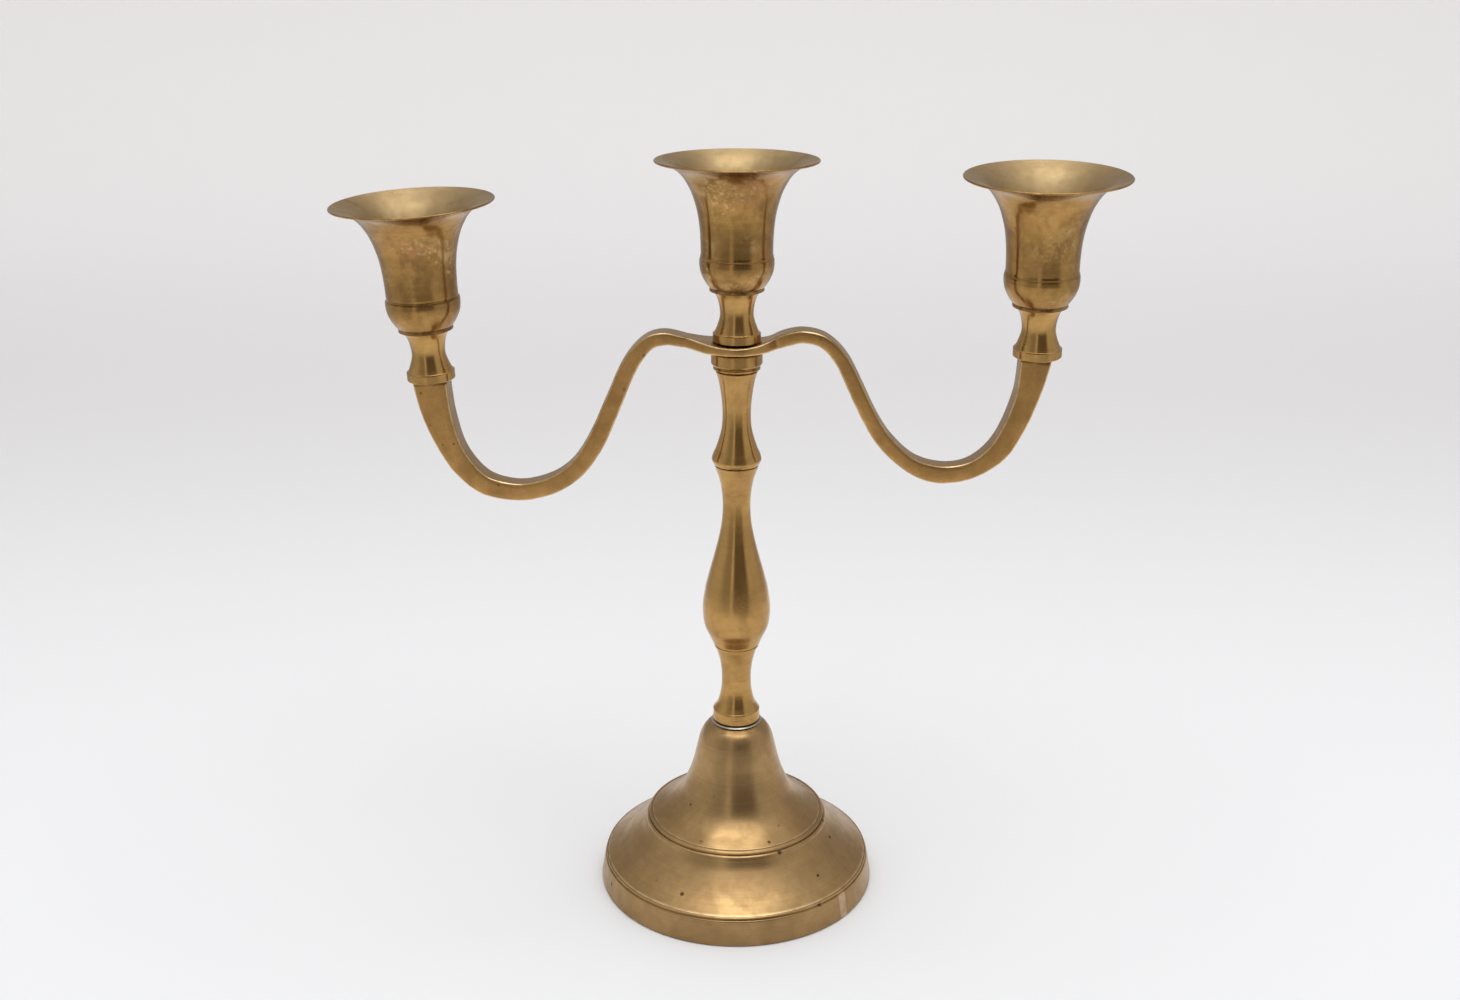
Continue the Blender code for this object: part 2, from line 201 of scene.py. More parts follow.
# ---- materials ----------------------------------------------------------------------------
class Nodes:
    """Short calls for building a node tree."""

    def __init__(self, tree):
        self.tree = tree

    def add(self, kind, **settings):
        node = self.tree.nodes.new(kind)
        for key, value in settings.items():
            setattr(node, key, value)
        return node

    def link(self, source, target):
        self.tree.links.new(source, target)

    def feed(self, socket, value):
        if isinstance(value, bpy.types.NodeSocket):
            self.link(value, socket)
        else:
            socket.default_value = value

    def math(self, operation, first, second=0.0):
        node = self.add("ShaderNodeMath", operation=operation)
        for socket, value in zip(node.inputs, (first, second)):
            self.feed(socket, value)
        return node.outputs[0]

    def product(self, first, *others):
        for other in others:
            first = self.math("MULTIPLY", first, other)
        return first

    def mix(self, factor, first, second):
        node = self.add("ShaderNodeMix", data_type="RGBA")
        self.feed(node.inputs[0], factor)
        for socket, value in zip(node.inputs[6:8], (first, second)):
            self.feed(socket, (*value, 1.0) if isinstance(value, tuple) else value)
        return node.outputs[2]

    def attribute(self, name):
        return self.add("ShaderNodeAttribute", attribute_name=name).outputs["Fac"]

    def place(self, shift=(0.0, 0.0, 0.0), stretch=(1.0, 1.0, 1.0)):
        """The piece's own coordinates, shifted and stretched."""
        mapping = self.add("ShaderNodeMapping")
        mapping.inputs["Location"].default_value = shift
        mapping.inputs["Scale"].default_value = stretch
        self.link(self.add("ShaderNodeTexCoord").outputs["Object"], mapping.inputs["Vector"])
        return mapping.outputs["Vector"]

    def noise(self, vector, scale, detail, roughness=0.5, distortion=0.0):
        node = self.add("ShaderNodeTexNoise")
        self.link(vector, node.inputs["Vector"])
        node.inputs["Scale"].default_value = scale
        node.inputs["Detail"].default_value = detail
        node.inputs["Roughness"].default_value = roughness
        node.inputs["Distortion"].default_value = distortion
        return node.outputs["Fac"]

    def lines(self, position, scale):
        """Noise that changes along one number only, for tool marks."""
        node = self.add("ShaderNodeTexNoise", noise_dimensions="1D")
        self.feed(node.inputs["W"], position)
        node.inputs["Scale"].default_value = scale
        node.inputs["Detail"].default_value = 2.0
        return node.outputs["Fac"]

    def ramp(self, value, low, high, bottom=0.0, top=1.0):
        """A smooth step from bottom to top as the value goes from low to high."""
        node = self.add("ShaderNodeMapRange", interpolation_type="SMOOTHSTEP")
        self.feed(node.inputs["Value"], value)
        node.inputs["From Min"].default_value = low
        node.inputs["From Max"].default_value = high
        node.inputs["To Min"].default_value = bottom
        node.inputs["To Max"].default_value = top
        return node.outputs["Result"]

    def bump(self, height, distance, strength, normal=None):
        node = self.add("ShaderNodeBump")
        node.inputs["Strength"].default_value = strength
        node.inputs["Distance"].default_value = distance
        self.link(height, node.inputs["Height"])
        if normal:
            self.link(normal, node.inputs["Normal"])
        return node.outputs["Normal"]


def new_material(name):
    """A metal with nothing on it yet, with its nodes and its shader."""
    material = bpy.data.materials.new(name)
    material.use_nodes = True
    shader = material.node_tree.nodes["Principled BSDF"]
    shader.inputs["Metallic"].default_value = 1.0
    return material, Nodes(material.node_tree), shader


ROSY = (0.50, 0.25, 0.13)
# dirt and painted shade, for inner corners
DIRT_AND_SHADE = (0.085, 0.045, 0.018)
# rubbing and a painted highlight, for outer edges
RUBBED_AND_HIGHLIGHT = (0.74, 0.56, 0.32)
PIT = (0.045, 0.028, 0.014)
WIPED_BRIGHT = (0.72, 0.54, 0.27)
TARNISH_CLOUD = (0.20, 0.105, 0.042)
SCRAPED = (0.62, 0.47, 0.33)
SCRAPE_AZIMUTH = 0.88                   # radians from the front, to the right
SCRAPE_HALF_WIDTHS = (0.030, 0.042)     # radians: where it starts to fade, and where it ends
SCRAPE_TOPS = (0.0104, 0.0112)          # metres: the same, above the table
BARE_INSIDE = ((0.60, 0.47, 0.265), 0.31)    # the colour, and how much rougher it is
DULL_INSIDE = ((0.17, 0.12, 0.065), 0.25)


def tarnished(nodes, where, clean, tarnish, blotch, rosiness):
    """Clouds and fine mottling of tarnish, with rosy patches. Returns colour and cloudiness."""
    clouds = nodes.ramp(nodes.noise(where, 55.0, 5.0, 0.62, 0.8), 0.34, 0.70)
    mottle = nodes.ramp(nodes.noise(where, 260.0, 4.0, 0.62), 0.36, 0.68)
    shade = nodes.math("ADD", nodes.product(mottle, 0.35), nodes.product(clouds, 0.65))
    colour = nodes.mix(nodes.product(shade, blotch), clean, tarnish)
    rosy = nodes.ramp(nodes.noise(where, 34.0, 4.0, 0.6, 1.0), 0.50, 0.72)
    return nodes.mix(nodes.product(rosy, rosiness), colour, ROSY), shade


def edged(nodes, where, colour, dirt_and_shade_amount, rub_and_highlight_amount):
    """Dirt and painted shade in the inner corners, and outer edges lightened by rubbing and a
    painted highlight.
    """
    wear_and_painted_light = nodes.attribute("wear_and_painted_light")
    # painted shade: inner corners darkened, partly as dirt
    colour = nodes.mix(nodes.ramp(wear_and_painted_light, -0.02, -0.35, 0.0, dirt_and_shade_amount), colour, DIRT_AND_SHADE)
    # painted highlight: outer edges lightened, partly as rubbing
    patchy = nodes.ramp(nodes.noise(where, 240.0, 3.0), 0.30, 0.60, 0.35, 1.0)
    rubbed_and_highlit = nodes.product(nodes.ramp(wear_and_painted_light, 0.05, 0.45), patchy, rub_and_highlight_amount)
    return nodes.mix(rubbed_and_highlit, colour, RUBBED_AND_HIGHLIGHT)


def pitted(nodes, where, colour, rough, amount, scale=120.0):
    """Small dark corrosion pits, in loose groups."""
    cell = nodes.add("ShaderNodeTexVoronoi", feature="F1")
    cell.inputs["Scale"].default_value = scale
    cell.inputs["Randomness"].default_value = 1.0
    nodes.link(where, cell.inputs["Vector"])
    chosen = nodes.ramp(nodes.noise(where, 0.55 * scale, 2.0), 0.44, 0.56)
    size = nodes.noise(where, 1.7 * scale, 1.0)
    reach = nodes.math("SUBTRACT", cell.outputs["Distance"], nodes.product(size, 0.18))
    spot = nodes.product(nodes.ramp(reach, 0.035, -0.03), chosen, amount)
    return nodes.mix(spot, colour, PIT), nodes.math("ADD", rough, nodes.product(spot, 0.3))


def handled(nodes, where, colour, amount):
    """Pale flecks and smears in clouds, where wiping took the tarnish off, and darker clouds."""
    flecks = nodes.ramp(nodes.noise(where, 620.0, 4.0, 0.65, 0.6), 0.50, 0.66)
    smears = nodes.ramp(nodes.noise(where, 130.0, 4.0, 0.6, 1.2), 0.50, 0.64, 0.0, 0.6)
    clouds = nodes.ramp(nodes.noise(where, 48.0, 3.0, 0.6, 1.0), 0.46, 0.62)
    light = nodes.product(nodes.math("MAXIMUM", flecks, smears), clouds, amount)
    darker = nodes.ramp(nodes.noise(where, 70.0, 4.0, 0.6, 0.5), 0.52, 0.74)
    colour = nodes.mix(light, colour, WIPED_BRIGHT)
    return nodes.mix(nodes.product(darker, amount, 0.8), colour, TARNISH_CLOUD)


def scraped(nodes, colour):
    """A pale scrape down the foot's edge, to the right of its front."""
    split = nodes.add("ShaderNodeSeparateXYZ")
    nodes.link(nodes.place(), split.inputs[0])
    azimuth = nodes.math("ARCTAN2", split.outputs["X"], nodes.product(split.outputs["Y"], -1.0))
    aside = nodes.math("ABSOLUTE", nodes.math("SUBTRACT", azimuth, SCRAPE_AZIMUTH))
    narrow = nodes.ramp(aside, *SCRAPE_HALF_WIDTHS[::-1])
    low = nodes.ramp(split.outputs["Z"], *SCRAPE_TOPS[::-1])
    ragged = nodes.ramp(nodes.noise(nodes.place(), 500.0, 2.0), 0.3, 0.7, 0.55, 1.0)
    return nodes.mix(nodes.product(narrow, low, nodes.product(ragged, 0.7)), colour, SCRAPED)


def turned_metal(name, clean, tarnish, roughness, blotch, rosy, pits=0.0, ring=1.0, brushed=0.8,
                 inside=BARE_INSIDE, edges=(0.55, 0.6), wiped=0.0, scrape=False, seed=0.0):
    """Metal finished on a lathe: fine rings round its axis that draw reflections out across them.

    Inside is the colour of faces that look inwards, and how much rougher they are. Edges are the
    amounts of dirt and painted shade in inner corners and of rubbing and painted highlight on outer
    ones. The seed shifts the tarnish.
    """
    material, nodes, shader = new_material(name)
    inside_colour, inside_roughness = inside
    where = nodes.place((seed, seed * 1.7, seed * 0.6))
    run = nodes.attribute("run")
    colour, shade = tarnished(nodes, where, clean, tarnish, blotch, rosy)
    rings = nodes.math("ADD", nodes.product(nodes.lines(run, 5200.0), 0.6),
                       nodes.product(nodes.lines(run, 900.0), 0.4))
    colour = nodes.mix(nodes.ramp(rings, 0.40, 0.62, 0.0, 0.18 * ring), colour, tarnish)
    inner = nodes.attribute("inner")
    colour = nodes.mix(nodes.product(inner, 0.65), colour, inside_colour)
    if wiped:
        colour = handled(nodes, where, colour, wiped)
    # dirt and painted shade in inner corners, rubbing and a painted highlight on outer edges
    colour = edged(nodes, where, colour, *edges)
    if scrape:
        colour = scraped(nodes, colour)
    rough = nodes.math("ADD", roughness, nodes.ramp(shade, 0.1, 0.9, -0.03, 0.06))
    rough = nodes.math("ADD", rough, nodes.product(inner, inside_roughness))
    if pits:
        colour, rough = pitted(nodes, where, colour, rough, pits)
    nodes.link(colour, shader.inputs["Base Color"])
    nodes.link(rough, shader.inputs["Roughness"])
    shader.inputs["Anisotropic"].default_value = brushed
    shader.inputs["Anisotropic Rotation"].default_value = 0.25
    tangent = nodes.add("ShaderNodeTangent", direction_type="RADIAL", axis="Z")
    nodes.link(tangent.outputs["Tangent"], shader.inputs["Tangent"])
    relief = nodes.bump(rings, 0.000012 * ring, 0.5)
    waves = nodes.noise(where, 80.0, 2.0, 0.4)
    nodes.link(nodes.bump(waves, 0.00005, 0.3, relief), shader.inputs["Normal"])
    return material


def cast_metal(name, clean, tarnish, polished):
    """Cast and filed metal: matt and grainy, smoother and paler on the faces that were polished."""
    material, nodes, shader = new_material(name)
    where = nodes.place((5.0, 8.5, 3.0))
    colour, shade = tarnished(nodes, where, clean, tarnish, 0.6, 0.2)
    smooth_face = nodes.attribute("smooth")
    grain = nodes.noise(where, 1400.0, 3.0, 0.6)
    filed = nodes.noise(nodes.place(stretch=(0.25, 1.0, 1.0)), 900.0, 2.0, 0.5)
    colour = nodes.mix(nodes.ramp(grain, 0.35, 0.65, 0.0, 0.22), colour, tarnish)
    colour = nodes.mix(nodes.product(smooth_face, 0.55), colour, polished)
    # dirt and painted shade in inner corners, rubbing and a painted highlight on outer edges
    colour = edged(nodes, where, colour, 0.5, 0.8)
    rough = nodes.math("ADD", nodes.ramp(smooth_face, 0.0, 1.0, 0.40, 0.27),
                       nodes.ramp(shade, 0.1, 0.9, -0.04, 0.07))
    colour, rough = pitted(nodes, where, colour, rough, 0.5, 170.0)
    nodes.link(colour, shader.inputs["Base Color"])
    nodes.link(rough, shader.inputs["Roughness"])
    relief = nodes.bump(grain, 0.00003, 0.35)
    relief = nodes.bump(filed, 0.00002, 0.3, relief)
    nodes.link(nodes.bump(nodes.noise(where, 150.0, 2.0), 0.00015, 0.4, relief),
               shader.inputs["Normal"])
    return material


CLEAN = (0.54, 0.325, 0.112)
TARNISH = (0.28, 0.157, 0.054)
CUP_CLEAN = (0.46, 0.270, 0.088)
CUP_TARNISH = (0.21, 0.114, 0.038)
polished = turned_metal("polished_brass", CUP_CLEAN, CUP_TARNISH, 0.19, 0.9, 0.4,
                        edges=(0.55, 0.1), wiped=0.45, seed=1.0)
polished_left = turned_metal("polished_brass_left", CUP_CLEAN, CUP_TARNISH, 0.20, 0.9, 0.5,
                             edges=(0.7, 0.1), wiped=0.5, seed=7.3)
polished_right = turned_metal("polished_brass_right", CUP_CLEAN, CUP_TARNISH, 0.19, 0.9, 0.5,
                              edges=(0.55, 0.1), wiped=0.28, seed=11.9)
turned = turned_metal("turned_brass", CLEAN, TARNISH, 0.22, 0.6, 0.15, edges=(0.3, 0.6), seed=2.2)
satin = turned_metal("satin_brass", (0.46, 0.30, 0.136), (0.24, 0.147, 0.062), 0.31, 0.5, 0.1,
                     pits=0.8, brushed=0.6, inside=DULL_INSIDE, edges=(0.5, 1.0), scrape=True,
                     seed=3.0)
cast = cast_metal("cast_brass", (0.53, 0.305, 0.105), (0.27, 0.152, 0.053), (0.43, 0.315, 0.18))
pale = turned_metal("pale_metal", (0.55, 0.52, 0.46), (0.30, 0.27, 0.22), 0.32, 0.5, 0.0,
                    ring=0.5)
steel = turned_metal("zinc_steel", (0.55, 0.56, 0.57), (0.30, 0.30, 0.31), 0.33, 0.5, 0.0,
                     pits=0.5, ring=0.3, brushed=0.3)


# ---- the base and the column ----------------------------------------------------------------
BORE = 3.3                    # for the tie rod
STUD_BORE = 2.8
CUP_RAISE = 19.6              # a cup's underside above its stem's foot
SCREW_HEIGHT = 12.6           # how far a rod's or stud's hole goes up into a stem


def make_base():
    top = node_top("base") / MM
    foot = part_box("base")[1][0] / MM
    land = [(BORE, top), (9.4, top)]
    crown = smooth([(9.7, top - 0.1), (12.6, top - 2.1), (14.7, top - 5.8), (16.1, top - 11.0),
                    (17.5, top - 17.2), (19.7, top - 24.1), (23.4, top - 31.6),
                    (28.6, top - 36.9), (35.0, top - 40.75)])
    step = [(35.4, top - 40.65), (36.1, top - 40.9), (36.6, top - 41.5), (36.5, top - 42.1),
            (36.0, top - 42.3), (36.1, top - 42.6), (36.7, top - 42.45), (37.3, top - 42.75),
            (37.6, top - 43.3)]
    skirt = smooth([(37.8, top - 43.9), (40.6, top - 47.6), (47.0, top - 53.7),
                    (54.2, top - 59.2)])
    groove = [(54.4, 12.1), (54.8, 11.8), (54.9, 11.4), (54.4, 11.0), (54.6, 10.7),
              (55.1, 10.6)]
    rim = [(55.4, 10.2), (foot, 0.6), (foot - 0.6, 0.0), (53.0, 0.0)]
    hollow = smooth([(52.8, 0.3), (51.4, 8.4), (44.6, 15.2), (37.8, 21.6), (31.0, 28.8),
                     (22.6, 35.6), (17.6, 43.8), (14.6, 53.0), (12.2, 62.0)])
    crest = [(12.0, 66.2), (BORE, 66.2)]
    shape = joined(land, crown, step, skirt, groove, rim, hollow, crest, fillet=0.3, closed=True)
    piece = lathe("bell_base", shape, satin)
    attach(piece, "root")
    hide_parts("base")


def make_baluster():
    bottom = node_bottom("baluster") / MM
    top = node_top("baluster") / MM
    head = [(BORE, top), (8.6, top), (8.45, top - 0.9)]
    swelling = smooth([(8.2, top - 1.6), (6.9, 176.8), (6.0, 172.6), (5.45, 165.8), (5.85, 159.0),
                       (7.0, 152.2), (9.1, 143.8), (11.0, 136.9), (12.7, 129.6), (13.6, 121.8),
                       (12.9, 114.8), (11.1, 110.4), (9.5, 106.9)])
    ring = [(9.45, 106.5), (8.75, 106.2), (8.75, 105.9), (9.0, 105.7), (8.9, 105.1),
            (8.45, 104.9)]
    neck = smooth([(8.4, 104.6), (7.2, 100.8), (6.3, 96.4), (5.9, 90.5), (6.3, 85.0),
                   (7.5, 80.4), (9.0, 77.7)])
    foot = [(9.45, 77.2), (9.5, 76.8), (9.5, bottom + 0.5), (9.1, bottom), (BORE, bottom)]
    shape = joined(head, swelling, ring, neck, foot, closed=True)
    piece = lathe("baluster_column", shape, turned)
    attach(piece, "root")
    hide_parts("baluster")


def make_spindle():
    bottom = node_bottom("spindle") / MM
    top = node_top("spindle") / MM
    collar = [(BORE, top), (9.5, top), (9.9, top - 0.4), (9.9, 223.3), (9.3, 222.6),
              (8.7, 222.1), (8.7, 221.9), (9.1, 221.6), (9.05, 221.0), (8.1, 220.7),
              (7.8, 220.3), (8.15, 220.0)]
    neck = smooth([(7.95, 219.6), (7.14, 216.9), (6.4, 213.0), (5.75, 207.8), (5.5, 203.0),
                   (5.75, 198.0), (6.6, 193.9), (8.1, 189.3), (9.25, 186.6), (9.7, 184.7),
                   (9.3, 183.4)])
    foot = [(9.0, 183.0), (8.8, bottom), (BORE, bottom)]
    shape = joined(collar, neck, foot, closed=True)
    piece = lathe("spindle_column", shape, turned)
    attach(piece, "root")
    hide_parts("spindle")


# ---- cups and their stems -------------------------------------------------------------------
def make_cup(side, material, groove):
    """A trumpet cup. Its shoulder has a groove cut in it, or else a small bead."""
    place = axis_place(side + "_cup_turn")
    lip = smooth([(30.0, 48.75), (30.35, 48.8), (30.7, 48.65), (30.8, 48.4), (30.6, 48.1)], 3)
    flare = smooth([(30.3, 47.95), (27.4, 47.25), (24.7, 46.3), (22.2, 44.7), (20.2, 42.6),
                    (18.5, 39.9), (17.0, 36.9), (15.6, 32.7), (14.6, 28.4), (13.95, 23.5),
                    (13.65, 18.0), (13.6, 13.9)])
    if groove:
        shoulder = [(13.55, 13.2), (13.2, 12.95), (13.25, 12.6), (13.95, 12.3)]
    else:
        shoulder = [(13.75, 13.3), (13.9, 13.0), (13.65, 12.6), (13.95, 12.4)]
    belly = smooth([(14.12, 11.9), (14.15, 10.0), (13.75, 7.3), (12.7, 4.7), (11.3, 2.4),
                    (10.1, 1.0)])
    bead = [(10.35, 0.75), (10.45, 0.6), (10.45, 0.0)]
    hole = [(4.3, 0.0), (4.3, 5.6)]
    socket = [(11.2, 5.6), (11.4, 5.8), (11.4, 17.0)]
    mouth = smooth([(11.45, 18.0), (12.0, 22.5), (13.1, 29.0), (14.9, 35.8), (17.4, 41.0),
                    (20.4, 44.6), (24.0, 46.9), (27.2, 48.0), (29.8, 48.72)])
    shape = joined(lip, flare, shoulder, belly, bead, hole, socket, mouth, fillet=0.12,
                   closed=True)
    piece = lathe(side + "_candle_cup", shape, material, place)
    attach(piece, side + "_cup")
    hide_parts(side + "_cup")


def make_stem(side, body, bore):
    """The waisted stem under a cup, placed by the cup's own axis."""
    place = axis_place(side + "_cup_turn") @ Matrix.Translation((0, 0, -CUP_RAISE * MM))
    spigot = [(0.0, 24.0), (3.5, 24.0), (4.0, 23.5), (4.0, 19.2)]
    waist = smooth([(8.9, 19.2), (7.9, 17.7), (7.2, 16.0), (6.7, 13.9), (6.4, 11.4), (6.5, 9.4),
                    (7.1, 7.2), (7.9, 5.0), (8.5, 3.7)])
    foot = [(8.7, 3.4), (9.2, 3.15), (9.2, 0.25), (8.95, 0.0), (bore, 0.0), (bore, SCREW_HEIGHT),
            (0.0, SCREW_HEIGHT)]
    shape = joined(spigot, waist, foot)
    piece = lathe(side + "_waisted_stem", shape, turned, place, closed=False)
    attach(piece, body)
    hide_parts(side + "_cup_stem")


# ---- the yoke -------------------------------------------------------------------------------
YOKE_LINE = (
    (-118.0, 219.0, 13.6), (-117.6, 212.5, 12.8), (-115.6, 201.1, 11.2), (-111.5, 189.1, 9.0),
    (-106.5, 180.7, 8.2), (-99.5, 174.1, 7.6), (-90.7, 171.3, 7.1), (-81.5, 171.2, 7.0),
    (-70.5, 174.7, 6.9), (-61.7, 181.4, 6.8), (-54.6, 191.9, 7.1), (-48.0, 206.5, 6.8),
    (-41.3, 221.7, 6.4), (-34.6, 230.5, 5.5), (-28.0, 233.1, 5.0), (-20.0, 232.0, 4.2),
    (-12.0, 230.2, 3.9), (-5.0, 229.65, 3.3), (5.0, 229.65, 3.3), (11.5, 230.4, 4.0),
    (18.5, 233.0, 5.0), (25.5, 234.3, 4.8), (33.3, 232.2, 4.8), (40.0, 225.3, 5.5),
    (45.5, 214.4, 6.0), (51.1, 202.8, 5.9), (57.2, 193.2, 6.2), (66.4, 184.5, 6.1),
    (76.0, 180.4, 7.0), (85.5, 180.4, 6.8), (93.6, 183.4, 6.9), (101.2, 190.0, 7.9),
    (106.5, 199.6, 8.3), (110.7, 211.7, 9.2), (112.8, 223.0, 11.2), (113.8, 230.0, 12.6),
)
# Half the yoke's depth, front to back, along x: deepest at the cups, slimmest in the bends.
ARM_HALF_DEPTHS = (
    (-118.0, 5.0), (-103.0, 4.4), (-85.0, 4.0), (-60.0, 4.1), (-28.0, 4.4), (28.0, 4.5),
    (60.0, 4.1), (85.0, 4.0), (103.0, 4.6), (114.0, 5.0),
)
YOKE_TURN = -2.0              # degrees about +Z
EYE_RADIUS = 10.8
LEFT_CREASE, RIGHT_CREASE = -20.5, 16.0    # where the bar starts to flare out to the eye
SEAT_GAP = 0.3                # below each side cup's stem
SEAT_EDGE = 0.6               # how far an arm's end is eased round its flat pad
SEAT_CLEAR = 1.2              # an arm's own sections stop this far below the stem
HOLE_DEPTH = 9.3              # of the stud's hole, below the pad
EYE_CLEAR = (12, 20)          # the casting's unevenness grows in between these, out from the eye


def ease(value, low, high):
    """A smooth step from 0 to 1 as the value goes from low to high."""
    t = min(max((value - low) / (high - low), 0.0), 1.0)
    return t * t * (3 - 2 * t)


def half_depth(x):
    """Half the yoke's depth at x: the bar's own, a small step, then the flare out to the eye."""
    for (start, first), (end, second) in zip(ARM_HALF_DEPTHS, ARM_HALF_DEPTHS[1:]):
        if x <= end:
            break
    bar = first + (second - first) * ease(x, start, end)
    crease = LEFT_CREASE if x < 0 else RIGHT_CREASE
    flare = (0.5 + 0.5 * cos(pi * min(x / crease, 1.0))) ** 0.8
    step = 0.35 * (1 - ease(abs(x), abs(crease) - 1.0, abs(crease) + 0.3))
    return bar - step + (EYE_RADIUS - bar + step) * flare


def section(half_thick, half_deep, edge):
    """A rounded rectangle as (across, deep, wear_and_painted_light, smooth), from its upper back
    corner round. Its rounded corners are lightened, as rubbing and a painted highlight.

    Smooth is 1 on the upper and lower faces, which were polished, and 0 on the matt front and back.
    """
    per_corner = per_flat = 4
    points = []
    for quarter, (side_across, side_deep) in enumerate(((1, 1), (-1, 1), (-1, -1), (1, -1))):
        centre = Vector((side_across * (half_thick - edge), side_deep * (half_deep - edge)))
        for step in range(per_corner + 1):
            angle = pi / 2 * (quarter + step / per_corner)
            spot = centre + edge * Vector((cos(angle), sin(angle)))
            # rubbing and a painted highlight: the rounded corners are lightened, most at their
            # middle
            worn_and_lit = 0.5 * sin(pi * step / per_corner)
            smooth_face = 0.5 + 0.5 * (-1) ** quarter * cos(pi * step / per_corner)
            points.append((spot.x, spot.y, worn_and_lit, smooth_face))
        flat_start = Vector(points[-1][:2])
        following = ((-1, 1), (-1, -1), (1, -1), (1, 1))[quarter]
        corner = Vector((following[0] * (half_thick - edge), following[1] * (half_deep - edge)))
        turn = pi / 2 * (quarter + 1)
        flat_end = corner + edge * Vector((cos(turn), sin(turn)))
        for step in range(1, per_flat):
            spot = flat_start.lerp(flat_end, step / per_flat)
            points.append((spot.x, spot.y, 0.0, points[-1][3]))
    return points


def uneven(place):
    """How far a cast surface wanders from true at a place, in millimetres."""
    return 0.10 * noise.noise(place / 11) + 0.035 * noise.noise(place / 3)


def yoke_rings():
    """Sections along the yoke as lists of (place, wear_and_painted_light, smooth), with the
    direction at each.
    """
    turn = Matrix.Rotation(radians(YOKE_TURN), 3, "Z")
    line = smooth(YOKE_LINE, 12)
    rings = []
    for index, (x, z, thickness) in enumerate(line):
        before = line[max(index - 1, 0)]
        after = line[min(index + 1, len(line) - 1)]
        along = Vector((after[0] - before[0], 0, after[1] - before[1])).normalized()
        across = Vector((-along.z, 0, along.x))
        deep = half_depth(x)
        ring = []
        edge = min(0.8, 0.28 * thickness)
        for offset, depth, worn_and_lit, smooth_face in section(thickness / 2, deep, edge):
            swell = 0.12 * (1 - (2 * offset / thickness) ** 2) * (1 if depth > 0 else -1)
            place = Vector((x, 0, z)) + across * offset + Vector((0, depth + swell, 0))
            outward = (across * offset + Vector((0, depth, 0))).normalized()
            place += outward * uneven(place) * ease(abs(x), *EYE_CLEAR)
            ring.append((turn @ place, worn_and_lit, smooth_face))
        rings.append((ring, turn @ along))
    return rings


def seat_of(side):
    """Where a side stem's foot stands, and its axis, in millimetres."""
    hinge = joint(side + "_cup_turn")
    axis = Vector(hinge["axis"]).normalized()
    return Vector(hinge["pos_m"]) / MM - axis * CUP_RAISE, axis


def seat_rings(ring, along, seat):
    """The end of an arm: a soft edge, the flat pad under the stem, and the stud's blind hole.

    Along is the arm's own direction there. Rings come in order from the arm to the hole's floor.
    """
    foot, axis = seat
    pad = foot - axis * SEAT_GAP

    def slid(place, level):
        return place + along * ((level - place).dot(axis) / along.dot(axis))

    # painted shadow: the rim and the pad darken (-0.2, -0.6) for a dark line under the stem's foot;
    # the hole's floor (-0.4) takes painted shade
    rim = [(slid(place, pad - axis * SEAT_EDGE), -0.2, face) for place, _, face in ring]
    middle = sum((place for place, _, _ in rim), Vector()) / len(rim)
    top = [(slid(place + (middle - place).normalized() * SEAT_EDGE, pad), -0.6, 0.0)
           for place, _, _ in ring]
    hole = []
    for place, _, _ in top:
        spoke = place - pad
        spoke = (spoke - axis * spoke.dot(axis)).normalized() * STUD_BORE
        hole.append((pad + spoke, 0.0, 1.0))
    floor = [(place - axis * HOLE_DEPTH, -0.4, 0.0) for place, _, _ in hole]
    return [rim, top, hole, floor]


def make_yoke():
    """One casting: a flat bar bent into two swan-neck arms, with a ring eye in its middle."""
    sections = yoke_rings()
    ends = []
    for side, backwards in (("left", False), ("right", True)):
        seat = seat_of(side)
        if backwards:
            sections.reverse()
        foot, axis = seat
        below = [all((place - foot).dot(axis) < -SEAT_CLEAR for place, _, _ in ring)
                 for ring, _ in sections]
        sections = sections[below.index(True):]
        ring, along = sections[0]
        ends.append(seat_rings(ring, along, seat))
        if backwards:
            sections.reverse()
    rings = ends[0][::-1] + [ring for ring, _ in sections] + ends[1]
    size = len(rings[0])
    vertices = [place * MM for ring in rings for place, _, _ in ring]
    faces = [[size * row + (spot + 1) % size, size * row + spot, size * (row + 1) + spot,
              size * (row + 1) + (spot + 1) % size]
             for row in range(len(rings) - 1) for spot in range(size)]
    faces.append(list(range(size)))
    faces.append([size * len(rings) - 1 - spot for spot in range(size)])
    attributes = {"wear_and_painted_light": [worn_and_lit for ring in rings for _, worn_and_lit, _ in ring],
                  "smooth": [face for ring in rings for _, _, face in ring]}
    yoke = new_piece("swan_neck_yoke", vertices, faces, attributes, cast)
    drill_eye(yoke)
    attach(yoke, "arms")
    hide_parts("arm_yoke")


def drill_eye(yoke):
    """Cut the tie rod's hole through the middle of the yoke."""
    bottom, top = node_bottom("arm_yoke"), node_top("arm_yoke")
    outline = [Vector((radius, height / MM))
               for radius, height in ((0.0, top), (BORE, top), (BORE, bottom), (0.0, bottom))]
    drill = lathe("drill", (outline, [0.0] * 4), cast, sides=64, closed=False)
    cut = yoke.modifiers.new("eye", "BOOLEAN")
    cut.operation = "DIFFERENCE"
    cut.object = drill
    bpy.context.view_layer.update()
    evaluated = yoke.evaluated_get(bpy.context.evaluated_depsgraph_get())
    mesh = bpy.data.meshes.new_from_object(evaluated)
    yoke.modifiers.clear()
    yoke.data = mesh
    mesh.materials.clear()
    mesh.materials.append(cast)
    mesh.set_sharp_from_angle(angle=SHARP_ANGLE)
    bpy.data.objects.remove(drill)


